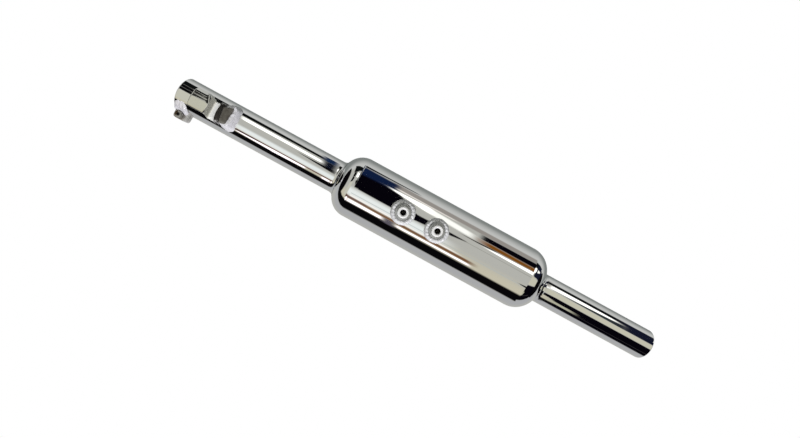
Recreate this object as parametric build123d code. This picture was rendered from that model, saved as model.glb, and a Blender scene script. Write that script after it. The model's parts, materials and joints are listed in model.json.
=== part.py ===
"""Chromed motorcycle exhaust muffler with a slip-on inlet and a short tail pipe.

Millimetres.  The origin is the centre of the inlet mouth, +X runs along the axis to the
tail, and +Z points the way the two threaded hanger bosses point.
"""
from build123d import *
import os
from math import cos, radians, sin, sqrt

os.makedirs("parts", exist_ok=True)

# ---------------------------------------------------------------- driving dimensions
OVERALL_LENGTH = 494.0
BODY_START = 166.5            # foremost point of the front end cap
BODY_LENGTH = 212.5
BODY_RADIUS = 30.0
SHOULDER_RADIUS = 19.0        # outer radius of the rounded end caps
CAP_SKIRT = 4.0               # straight part of each cap behind its rounded shoulder
SHEET = 1.2                   # wall of the shell and of both caps

INLET_RADIUS = 15.875         # 1 1/4 inch tube
INLET_SOCKET = 14.4           # bore of the mouth, slips over a 1 1/8 inch header pipe
INLET_SOCKET_DEPTH = 45.0
INLET_INSIDE = 12.0           # how far the inlet tube reaches into the body
TAIL_RADIUS = 14.3            # 1 1/8 inch tube
TAIL_BORE = 12.6
TAIL_INSIDE = 16.0

CORE_RADIUS = 13.8            # perforated core, fits inside the inlet tube
CORE_BORE = 12.6
CORE_OVERLAP = 14.0           # length of core pushed inside the inlet tube
CORE_HOLE_RADIUS = 2.5
CORE_ROWS = 15
CORE_ROW_PITCH = 11.0
SLEEVE_LENGTH = 24.0
WELD_LEG_AXIAL = 3.8
WELD_LEG_RADIAL = 2.6
WRAP_THICKNESS = 1.6
SUPPORT_THICKNESS = 1.5

BOSS_SPACING = 33.4
BOSS_FIRST_X = 233.7
BOSS_TOP = 38.2
BOSS_COLLAR_RADIUS = 4.9
BOSS_STEP_RADIUS = 7.5
BOSS_STEP_TOP = 34.6
BOSS_TAP_RADIUS = 2.5         # tapping size of an M6 thread
BOSS_TAP_DEPTH = 8.5
BOSS_BEAD_RADIUS = 11.8
BOSS_BEAD_TOP = 33.4

SLIT_WIDTH = 2.0
SLIT_LENGTH = 30.0
EAR_START = 0.3
EAR_LENGTH = 14.0
EAR_THICKNESS = 3.0
EAR_REACH = 23.6              # from the axis to the outer edge of the ears
EAR_CORNER = 3.2
EAR_PINCH = 0.7               # the ears lean together by this much at their outer edge
EAR_WELD_RADIUS = 16.6        # outside of the weld that wraps up the tube from each ear
EAR_WELD_ANGLE = 62.0

SCREW_X = 7.2
SCREW_Y = -19.5
SCREW_RADIUS = 2.0            # M4
SCREW_LENGTH = 16.0
SCREW_HEAD_RADIUS = 3.5
SCREW_HEAD_HEIGHT = 4.0
SCREW_KEY_FLATS = 3.0
SCREW_KEY_DEPTH = 2.2
SCREW_CLEARANCE = 0.08        # radial, in the ears and the washer
SCREW_ROOM = 4.1              # radius kept clear of weld round the head and the nut
WASHER_RADIUS = 3.6
WASHER_THICKNESS = 0.9
NUT_FLATS = 7.0
NUT_HEIGHT = 3.2
NUT_CLEARANCE = 0.05          # radial, stands for the thread's running clearance

# The strap's plan: a saddle on the tube that narrows and skews to a square end.
TONGUE_PLAN = ((13.5, 11.4), (28.0, 11.4), (35.5, 7.9), (40.7, 6.6), (40.7, -10.0),
               (36.0, -9.2), (31.0, -7.9), (13.5, -7.9))
TONGUE_SADDLE_RADIUS = 16.8
TONGUE_RISE_START = 26.0
TONGUE_END = 40.7
TONGUE_TOP = 22.6
# The block's top face and its wider foot, as corners in plan.
BLOCK_CROWN = ((48.0, 6.6), (57.4, 9.2), (55.4, -7.4), (50.0, -8.3))
BLOCK_FOOT = ((46.9, 8.6), (59.0, 11.0), (57.6, -9.4), (47.6, -10.0))
BLOCK_TOP = 22.6
BLOCK_FOOT_Z = 8.0
BANK_CROWN = ((47.6, 8.4), (58.6, 10.6), (57.2, -8.6), (48.4, -9.4))
BANK_FOOT = ((46.9, 13.4), (65.0, 13.4), (64.0, -13.0), (46.9, -13.0))
BANK_TOP = 21.4
BANK_FOOT_Z = 8.4

# ---------------------------------------------------------------- derived dimensions
BODY_END = BODY_START + BODY_LENGTH
SHELL_START = BODY_START + SHOULDER_RADIUS + CAP_SKIRT
SHELL_END = BODY_END - SHOULDER_RADIUS - CAP_SKIRT
SHELL_BORE = BODY_RADIUS - SHEET
INLET_END = BODY_START + INLET_INSIDE
TAIL_START = BODY_END - TAIL_INSIDE
CORE_START = INLET_END - CORE_OVERLAP
CORE_MIDDLE = (INLET_END + TAIL_START) / 2
SLEEVE_START = TAIL_START - SLEEVE_LENGTH / 2
TAIL_SHOULDER = BODY_END + WELD_LEG_AXIAL
WRAP_RADIUS = CORE_RADIUS + WRAP_THICKNESS
BOSS_XS = (BOSS_FIRST_X, BOSS_FIRST_X + BOSS_SPACING)
EAR_TOP = SLIT_WIDTH / 2 + EAR_THICKNESS
HEAD_SEAT = EAR_TOP + WASHER_THICKNESS


# ---------------------------------------------------------------- helpers
def rod(start, end, radius):
    """Solid round bar along the muffler's axis."""
    bar = Cylinder(radius, end - start, align=(Align.CENTER, Align.CENTER, Align.MIN))
    return Pos(start, 0, 0) * Rot(0, 90, 0) * bar


def pipe(start, end, outer, inner):
    return rod(start, end, outer) - rod(start - 1, end + 1, inner)


def post(x, y, bottom, top, radius):
    """Solid round bar standing along Z."""
    bar = Cylinder(radius, top - bottom, align=(Align.CENTER, Align.CENTER, Align.MIN))
    return Pos(x, y, bottom) * bar


def block(x_range, y_range, z_range):
    sizes = [high - low for low, high in (x_range, y_range, z_range)]
    corner = (x_range[0], y_range[0], z_range[0])
    return Pos(*corner) * Box(*sizes, align=(Align.MIN, Align.MIN, Align.MIN))


def spun(*outline):
    """Ring turned about the axis from a closed outline of (x, radius) points."""
    return revolve(make_face(Plane.XZ * Polyline(*outline, close=True)), Axis.X)


def mirrored_x(shape, middle):
    return mirror(shape, Plane.YZ.offset(middle))


def prism(corners, height):
    """Solid from Z = 0 up to height, over an outline given as corners in plan."""
    return extrude(make_face(Polyline(*corners, close=True)), height, dir=(0, 0, 1))


def tapered(foot, foot_z, crown, crown_z):
    """Solid between two outlines given as corners in plan."""
    faces = [Pos(0, 0, z) * make_face(Polyline(*corners, close=True))
             for corners, z in ((foot, foot_z), (crown, crown_z))]
    return loft(Sketch() + faces)


# ---------------------------------------------------------------- body
def cap_solid(radius_drop, reach):
    """Filled front cap, its outside moved inwards by radius_drop."""
    shoulder = SHOULDER_RADIUS - radius_drop
    centre_x = BODY_START + SHOULDER_RADIUS
    centre_r = BODY_RADIUS - SHOULDER_RADIUS
    half = radians(45)
    tip = (centre_x - shoulder, centre_r)
    middle = (centre_x - shoulder * cos(half), centre_r + shoulder * sin(half))
    crest = (centre_x, centre_r + shoulder)
    back = (reach, centre_r + shoulder)
    outline = (Line((tip[0], 0), tip) + ThreePointArc(tip, middle, crest) + Line(crest, back)
               + Line(back, (reach, 0)) + Line((reach, 0), (tip[0], 0)))
    return revolve(make_face(Plane.XZ * outline), Axis.X)


def end_cap(pipe_radius):
    """Spun cap with a rounded shoulder and a hole for its pipe, in the front position."""
    hole = rod(BODY_START - 1, SHELL_START + 1, pipe_radius)
    return cap_solid(0, SHELL_START) - cap_solid(SHEET, SHELL_START) - hole


def fillet_bead(pipe_radius):
    """Weld ring in the corner between a pipe and the front cap."""
    toe_r = pipe_radius + WELD_LEG_RADIAL
    centre_r = BODY_RADIUS - SHOULDER_RADIUS
    toe_x = BODY_START + SHOULDER_RADIUS - sqrt(SHOULDER_RADIUS**2 - (toe_r - centre_r)**2)
    behind = toe_x + 1
    ring = spun((BODY_START - WELD_LEG_AXIAL, pipe_radius), (toe_x, toe_r), (behind, toe_r),
                (behind, pipe_radius))
    return ring - cap_solid(0, SHELL_START)


def body_shell():
    shell = pipe(SHELL_START, SHELL_END, BODY_RADIUS, SHELL_BORE)
    for x in BOSS_XS:
        shell -= post(x, 0, 0, BOSS_TOP, BOSS_COLLAR_RADIUS)
    return shell


body_middle = (BODY_START + BODY_END) / 2
parts = {
    "body_shell": body_shell(),
    "front_end_cap": end_cap(INLET_RADIUS),
    "rear_end_cap": mirrored_x(end_cap(CORE_RADIUS), body_middle),
    "inlet_weld": fillet_bead(INLET_RADIUS),
    "tail_weld": mirrored_x(fillet_bead(CORE_RADIUS), body_middle),
}


# ---------------------------------------------------------------- pipes
def inlet_tube():
    """Inlet pipe with a socket at its mouth, slit on the -Y side for the clamp to close."""
    tube = pipe(0, INLET_END, INLET_RADIUS, CORE_RADIUS)
    tube -= rod(-1, INLET_SOCKET_DEPTH, INLET_SOCKET)
    half = SLIT_WIDTH / 2
    outside = -(INLET_RADIUS + 1)
    tube -= block((-1, SLIT_LENGTH), (outside, -CORE_RADIUS / 2), (-half, half))
    relief = Cylinder(SLIT_WIDTH, INLET_RADIUS, align=(Align.CENTER, Align.CENTER, Align.MIN))
    return tube - Pos(SLIT_LENGTH, -CORE_RADIUS / 2, 0) * Rot(90, 0, 0) * relief


def tail_tube():
    """Plain tail pipe, its inner end turned down to seat in the cap and the core sleeve."""
    outside = rod(TAIL_START, TAIL_SHOULDER, CORE_RADIUS)
    outside += rod(TAIL_SHOULDER, OVERALL_LENGTH, TAIL_RADIUS)
    return outside - rod(TAIL_START - 1, OVERALL_LENGTH + 1, TAIL_BORE)


parts["inlet_tube"] = inlet_tube()
parts["tail_tube"] = tail_tube()


# ---------------------------------------------------------------- internals
def perforated_core():
    """Straight-through pipe whose holes let the sound into the packing."""
    core = pipe(CORE_START, TAIL_START, CORE_RADIUS, CORE_BORE)
    first = CORE_MIDDLE - CORE_ROW_PITCH * (CORE_ROWS - 1) / 2
    drills = []
    for row in range(CORE_ROWS):
        for step in range(3):
            angle = 60 * step + 30 * (row % 2)
            drill = Rot(angle, 0, 0) * Cylinder(CORE_HOLE_RADIUS, 2 * BODY_RADIUS)
            drills.append(Pos(first + row * CORE_ROW_PITCH, 0, 0) * drill)
    return core - drills


def core_support():
    """Pressed disc that centres the core and parts the packing in two."""
    start = CORE_MIDDLE - SUPPORT_THICKNESS / 2
    disc = pipe(start, start + SUPPORT_THICKNESS, SHELL_BORE, CORE_RADIUS)
    disc += pipe(start, start + 6, SHELL_BORE, SHELL_BORE - SUPPORT_THICKNESS)
    hole_circle = (SHELL_BORE + WRAP_RADIUS) / 2
    for step in range(6):
        y = hole_circle * cos(radians(60 * step))
        z = hole_circle * sin(radians(60 * step))
        disc -= Pos(0, y, z) * rod(start - 1, start + SUPPORT_THICKNESS + 1, 3)
    return disc


support_front = CORE_MIDDLE - SUPPORT_THICKNESS / 2
support_back = CORE_MIDDLE + SUPPORT_THICKNESS / 2
flange_room = 6
wrap_spans = {"front": (INLET_END, support_front), "rear": (support_back, SLEEVE_START)}
packing_spans = {"front": (SHELL_START, support_front),
                 "rear": (support_front + flange_room, SHELL_END)}
parts["perforated_core"] = perforated_core()
parts["core_support_disc"] = core_support()
parts["core_sleeve"] = pipe(SLEEVE_START, SLEEVE_START + SLEEVE_LENGTH, WRAP_RADIUS, CORE_RADIUS)
for end in ("front", "rear"):
    parts["steel_wool_wrap_" + end] = pipe(*wrap_spans[end], WRAP_RADIUS, CORE_RADIUS)
    parts["glass_wool_packing_" + end] = pipe(*packing_spans[end], SHELL_BORE, WRAP_RADIUS)


# ---------------------------------------------------------------- hanger bosses
def boss(x):
    """Stepped boss set through the shell, with a blind tapped hole."""
    body = post(x, 0, 0, BOSS_TOP, BOSS_COLLAR_RADIUS)
    body = chamfer(body.edges().group_by(Axis.Z)[-1], 0.6)
    body -= rod(SHELL_START, SHELL_END, SHELL_BORE)
    step = post(x, 0, 0, BOSS_STEP_TOP, BOSS_STEP_RADIUS)
    step = fillet(step.edges().group_by(Axis.Z)[-1], 1.0)
    body += step - rod(SHELL_START, SHELL_END, BODY_RADIUS)
    return body - post(x, 0, BOSS_TOP - BOSS_TAP_DEPTH, BOSS_TOP + 1, BOSS_TAP_RADIUS)


def boss_bead(x):
    """Weld ring that joins a boss to the shell."""
    low = BODY_RADIUS - 4
    bead = post(x, 0, low, BOSS_BEAD_TOP, BOSS_BEAD_RADIUS)
    bead = fillet(bead.edges().group_by(Axis.Z)[-1], 2.6)
    bead -= post(x, 0, low - 1, BOSS_TOP, BOSS_STEP_RADIUS)
    return bead - rod(SHELL_START, SHELL_END, BODY_RADIUS)


for end, boss_x in zip(("front", "rear"), BOSS_XS):
    parts["hanger_boss_" + end] = boss(boss_x)
    parts["hanger_boss_weld_" + end] = boss_bead(boss_x)


# ---------------------------------------------------------------- bracket slot on the inlet
def bracket_tongue():
    """Saddle strap whose end rises from the tube to a square wall, one side of the slot."""
    saddle = rod(0, TONGUE_END, TONGUE_SADDLE_RADIUS)
    side = Polyline((TONGUE_RISE_START, 0), (TONGUE_RISE_START, TONGUE_SADDLE_RADIUS),
                    (TONGUE_END - 2, TONGUE_TOP), (TONGUE_END, TONGUE_TOP), (TONGUE_END, 0),
                    close=True)
    ramp = extrude(make_face(Plane.XZ * side), TONGUE_SADDLE_RADIUS, both=True)
    strap = (saddle + ramp) & prism(TONGUE_PLAN, TONGUE_TOP)
    return strap - rod(0, TONGUE_END + 1, INLET_RADIUS)


def bracket_block():
    body = tapered(BLOCK_FOOT, BLOCK_FOOT_Z, BLOCK_CROWN, BLOCK_TOP)
    return body - rod(0, 2 * TONGUE_END, INLET_RADIUS)


def bracket_block_weld():
    """Weld bank behind the block and down both its sides."""
    bank = tapered(BANK_FOOT, BANK_FOOT_Z, BANK_CROWN, BANK_TOP)
    bank -= tapered(BLOCK_FOOT, BLOCK_FOOT_Z, BLOCK_CROWN, BLOCK_TOP)
    return bank - rod(0, 2 * TONGUE_END, INLET_RADIUS)


parts["bracket_tongue"] = bracket_tongue()
parts["bracket_block"] = bracket_block()
parts["bracket_block_weld"] = bracket_block_weld()


# ---------------------------------------------------------------- inlet clamp
def clamp_ear():
    """Upper ear, welded to the tube beside the slit and bent towards the lower ear."""
    half = SLIT_WIDTH / 2
    bend = -(INLET_RADIUS + SCREW_RADIUS)
    section = Polyline((-INLET_RADIUS / 2, half), (bend, half), (bend - 1, half - EAR_PINCH),
                       (-EAR_REACH, half - EAR_PINCH), (-EAR_REACH, EAR_TOP),
                       (-INLET_RADIUS / 2, EAR_TOP), close=True)
    profile = Pos(EAR_START, 0, 0) * make_face(Plane.YZ * section)
    plate = extrude(profile, EAR_LENGTH, dir=(1, 0, 0))
    outer_edges = plate.edges().filter_by(Axis.Z).group_by(Axis.Y)[0]
    plate = fillet(outer_edges, EAR_CORNER)
    plate -= rod(-1, SLIT_LENGTH, INLET_RADIUS)
    return plate - post(SCREW_X, SCREW_Y, -1, EAR_TOP + 1, SCREW_RADIUS + SCREW_CLEARANCE)


def ear_weld():
    """Broad weld that wraps up the tube from the top of the upper ear to the strap."""
    pad = pipe(EAR_START, EAR_START + EAR_LENGTH, EAR_WELD_RADIUS, INLET_RADIUS)
    high = INLET_RADIUS * sin(radians(EAR_WELD_ANGLE))
    pad &= block((-1, SLIT_LENGTH), (-EAR_REACH, 0), (EAR_TOP, high))
    pad -= bracket_tongue()
    return pad - post(SCREW_X, SCREW_Y, 0, EAR_REACH, SCREW_ROOM)


def clamp_screw():
    head = post(SCREW_X, SCREW_Y, HEAD_SEAT, HEAD_SEAT + SCREW_HEAD_HEIGHT, SCREW_HEAD_RADIUS)
    head = chamfer(head.edges().group_by(Axis.Z)[-1], 0.5)
    key = RegularPolygon(SCREW_KEY_FLATS / sqrt(3), 6)
    socket_floor = HEAD_SEAT + SCREW_HEAD_HEIGHT - SCREW_KEY_DEPTH
    socket = Pos(SCREW_X, SCREW_Y, socket_floor) * extrude(key, SCREW_KEY_DEPTH + 1)
    shank = post(SCREW_X, SCREW_Y, HEAD_SEAT - SCREW_LENGTH, HEAD_SEAT, SCREW_RADIUS)
    shank = chamfer(shank.edges().group_by(Axis.Z)[0], 0.6)
    return head - socket + shank


def lock_washer():
    """Split spring washer under the screw's head."""
    ring = post(SCREW_X, SCREW_Y, EAR_TOP, HEAD_SEAT, WASHER_RADIUS)
    ring -= post(SCREW_X, SCREW_Y, EAR_TOP - 1, HEAD_SEAT + 1, SCREW_RADIUS + SCREW_CLEARANCE)
    return ring - block((SCREW_X - 0.5, SCREW_X + 0.5), (SCREW_Y - 2 * WASHER_RADIUS, SCREW_Y),
                        (EAR_TOP - 1, HEAD_SEAT + 1))


def clamp_nut():
    hexagon = RegularPolygon(NUT_FLATS / sqrt(3), 6)
    body = Pos(SCREW_X, SCREW_Y, -EAR_TOP - NUT_HEIGHT) * extrude(hexagon, NUT_HEIGHT)
    return body - post(SCREW_X, SCREW_Y, -EAR_TOP - NUT_HEIGHT - 1, -EAR_TOP + 1,
                       SCREW_RADIUS + NUT_CLEARANCE)


parts["clamp_ear_upper"] = clamp_ear()
parts["clamp_ear_lower"] = mirror(clamp_ear(), Plane.XY)
parts["clamp_ear_weld_upper"] = ear_weld()
parts["clamp_ear_weld_lower"] = mirror(ear_weld(), Plane.XY)
parts["clamp_screw"] = clamp_screw()
parts["clamp_lock_washer"] = lock_washer()
parts["clamp_nut"] = clamp_nut()

# ---------------------------------------------------------------- export
for name, shape in parts.items():
    shape.label = name
    export_step(shape, f"parts/{name}.step")
    print(name, "solids", len(shape.solids()), "volume", round(shape.volume, 1))
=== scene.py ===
import json
from math import cos, degrees, pi, radians, sin, sqrt, tan

import bmesh
import bpy
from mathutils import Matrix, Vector, noise


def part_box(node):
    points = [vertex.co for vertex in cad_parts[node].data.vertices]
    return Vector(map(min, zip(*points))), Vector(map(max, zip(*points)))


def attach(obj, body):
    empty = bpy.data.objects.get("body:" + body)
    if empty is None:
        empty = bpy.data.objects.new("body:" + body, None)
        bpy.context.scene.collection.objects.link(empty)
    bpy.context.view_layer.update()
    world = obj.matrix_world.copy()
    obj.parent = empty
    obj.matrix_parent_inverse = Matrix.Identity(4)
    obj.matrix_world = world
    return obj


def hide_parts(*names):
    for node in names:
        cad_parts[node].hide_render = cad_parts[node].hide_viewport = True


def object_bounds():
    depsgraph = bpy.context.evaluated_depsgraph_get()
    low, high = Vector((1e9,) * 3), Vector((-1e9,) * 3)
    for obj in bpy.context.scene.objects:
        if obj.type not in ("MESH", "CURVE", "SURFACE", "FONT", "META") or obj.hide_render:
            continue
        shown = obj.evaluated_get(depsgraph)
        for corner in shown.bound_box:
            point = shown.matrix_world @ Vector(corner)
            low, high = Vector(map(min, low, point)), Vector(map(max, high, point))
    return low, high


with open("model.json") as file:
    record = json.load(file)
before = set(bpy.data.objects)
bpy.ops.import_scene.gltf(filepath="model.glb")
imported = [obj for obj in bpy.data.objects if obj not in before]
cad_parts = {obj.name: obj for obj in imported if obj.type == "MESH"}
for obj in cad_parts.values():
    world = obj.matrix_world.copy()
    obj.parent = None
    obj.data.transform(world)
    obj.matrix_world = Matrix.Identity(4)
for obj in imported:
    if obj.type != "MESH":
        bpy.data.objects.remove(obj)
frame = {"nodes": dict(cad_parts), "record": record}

MM = 0.001
cad_low, cad_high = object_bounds()
scene = bpy.context.scene


# ---------------------------------------------------------------- sizes, in millimetres
class Span:
    """Box of a CAD node, in millimetres."""

    def __init__(self, node):
        low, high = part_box(node)
        self.low, self.high = low / MM, high / MM
        self.middle = (self.low + self.high) / 2
        self.size = self.high - self.low


inlet = Span("inlet_tube")
tail = Span("tail_tube")
shell = Span("body_shell")
core = Span("perforated_core")
screw = Span("clamp_screw")
washer = Span("clamp_lock_washer")
ear = Span("clamp_ear_upper")
tongue = Span("bracket_tongue")
block = Span("bracket_block")
socket = next(mount for mount in frame["record"]["mounts"] if mount["name"] == "inlet_socket")
SOCKET_RADIUS = socket["dims"]["r_mm"]
SOCKET_DEPTH = socket["dims"]["length_mm"]
INLET_RADIUS = inlet.high.z
TAIL_RADIUS = tail.high.z
BODY_RADIUS = shell.high.z
CORE_RADIUS = core.high.z
TAIL_BORE = 12.6
SLIT_HALF = 1.0                    # half the width of the slit in the inlet tube
SLIT_LENGTH = 30.0                 # from the mouth to the middle of the relief hole
TAP_RADIUS = 2.5                   # M6 tapping hole in the hanger bosses
RAMP_START = 32.0                  # where the strap bends up off the tube
SEAT_RADIUS = INLET_RADIUS - 0.5   # welded pieces reach this far into the tube's wall


# ---------------------------------------------------------------- node graph helper
class Graph:
    """Short way to write a shader: every call adds one node and returns its first output."""

    def __init__(self, tree):
        self.tree = tree
        tree.nodes.clear()

    def add(self, kind, inputs=(), output=0, **settings):
        node = self.tree.nodes.new("ShaderNode" + kind)
        for name, value in settings.items():
            setattr(node, name, value)
        pairs = inputs.items() if isinstance(inputs, dict) else enumerate(inputs)
        for key, value in pairs:
            if isinstance(value, bpy.types.NodeSocket):
                self.tree.links.new(value, node.inputs[key])
            elif value is not None:
                node.inputs[key].default_value = value
        return node.outputs[output] if node.outputs else node

    def math(self, operation, *values):
        return self.add("Math", values, operation=operation)

    def smooth(self, value, start, end):
        """0 before start, 1 after end, and an S-curve between."""
        return self.add("MapRange", {"Value": value, "From Min": start, "From Max": end},
                        interpolation_type="SMOOTHSTEP")

    def mix(self, factor, first, second):
        return self.add("Mix", {0: factor, 6: first, 7: second}, output=2, data_type="RGBA")

    def split(self, vector):
        return self.add("SeparateXYZ", [vector]).node.outputs

    def length(self, first, second):
        squares = [self.math("MULTIPLY", side, side) for side in (first, second)]
        return self.math("SQRT", self.math("ADD", *squares))


def paint(red, green, blue, gain=1.0):
    """Linear colour from the 0 to 255 values that a screen shows."""
    return tuple(((value / 255) ** 2.2) * gain for value in (red, green, blue)) + (1.0,)


# ---------------------------------------------------------------- studio round the object
# The studio is painted on the world by direction. "Roll" is the angle in degrees about the
# muffler's axis, 0 overhead and positive towards -Y; "run" is the slope along the axis,
# 0 abreast of the camera and positive towards the tail.
class Studio:
    ROLL_EDGE = 1.6               # half the width of a panel's soft edge, in degrees of roll
    RUN_EDGE = 0.012              # the same for its two ends, in run
    WAVE = 3.0                    # degrees of roll by which the panels' edges wander
    WAVES_PER_RUN = 5.0           # how quickly they wander along the run
    ROLL_TO_RUN = 0.02            # a degree of roll counts as this much run in that wander
    STRENGTH = 1.08

    def __init__(self, world):
        world.use_nodes = True
        self.graph = Graph(world.node_tree)
        graph = self.graph
        x, y, z = graph.split(graph.add("TexCoord"))
        across = graph.length(y, z)
        self.run = graph.math("DIVIDE", x, graph.math("MAXIMUM", across, 0.001))
        turn = graph.math("ARCTAN2", graph.math("MULTIPLY", y, -1.0), z)
        roll = graph.math("MULTIPLY", turn, degrees(1))
        spot = graph.add("CombineXYZ", [self.run, graph.math("MULTIPLY", roll, self.ROLL_TO_RUN), 0.0])
        wander = graph.add("TexNoise", {"Vector": spot, "Scale": self.WAVES_PER_RUN, "Detail": 2.0})
        self.roll = graph.math("ADD", roll, graph.math("MULTIPLY_ADD", wander, self.WAVE,
                                                       -self.WAVE / 2))
        self.colour = self.fade(8, 46, paint(174, 174, 168), paint(190, 185, 166))

    def fade(self, start, end, first, last):
        """Colour that turns from first to last as roll goes from start to end."""
        return self.graph.mix(self.graph.smooth(self.roll, start, end), first, last)

    def panel(self, colour, runs, start, end, edge=ROLL_EDGE, run_edge=RUN_EDGE):
        """Four-sided patch: its roll span is start at the first run and end at the second."""
        graph = self.graph
        (run_0, run_1), (low_0, high_0), (low_1, high_1) = runs, start, end

        def line(first, last):
            slope = (last - first) / (run_1 - run_0)
            return graph.math("MULTIPLY_ADD", self.run, slope, first - slope * run_0)

        over_low = graph.math("SUBTRACT", self.roll, line(low_0, low_1))
        under_high = graph.math("SUBTRACT", line(high_0, high_1), self.roll)
        mask = graph.math("MULTIPLY", graph.smooth(over_low, -edge, edge),
                          graph.smooth(under_high, -edge, edge))
        along = graph.math("MULTIPLY", graph.smooth(self.run, run_0 - run_edge, run_0 + run_edge),
                           graph.smooth(self.run, run_1 + run_edge, run_1 - run_edge))
        self.colour = graph.mix(graph.math("MULTIPLY", mask, along), self.colour, colour)

    def finish(self, backdrop):
        """The painted room lights the object, and the camera itself sees a plain backdrop."""
        graph = self.graph
        seen = graph.add("LightPath")
        room = graph.add("Background", [self.colour, self.STRENGTH])
        plain = graph.add("Background", [backdrop, 1.0])
        graph.add("OutputWorld", [graph.add("MixShader", [seen, room, plain])])


BLACK = paint(16, 15, 17)
NAVY = paint(22, 34, 62)
INK = paint(13, 11, 18)
WHITE = paint(255, 255, 250, 1.5)
SOFT_WHITE = paint(247, 248, 242, 1.06)
PINK_WHITE = paint(255, 246, 250, 1.4)
PALE = paint(226, 231, 230)
CREAM = paint(190, 189, 176)
BROWN = paint(112, 78, 54)
FLOOR_FAR = paint(186, 187, 185)
FLOOR_NEAR = paint(122, 126, 124)
FLOOR_LEFT = paint(164, 165, 167)
BACKDROP = paint(255, 255, 255)
ALL = (-90, 90)                    # the whole run


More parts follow.
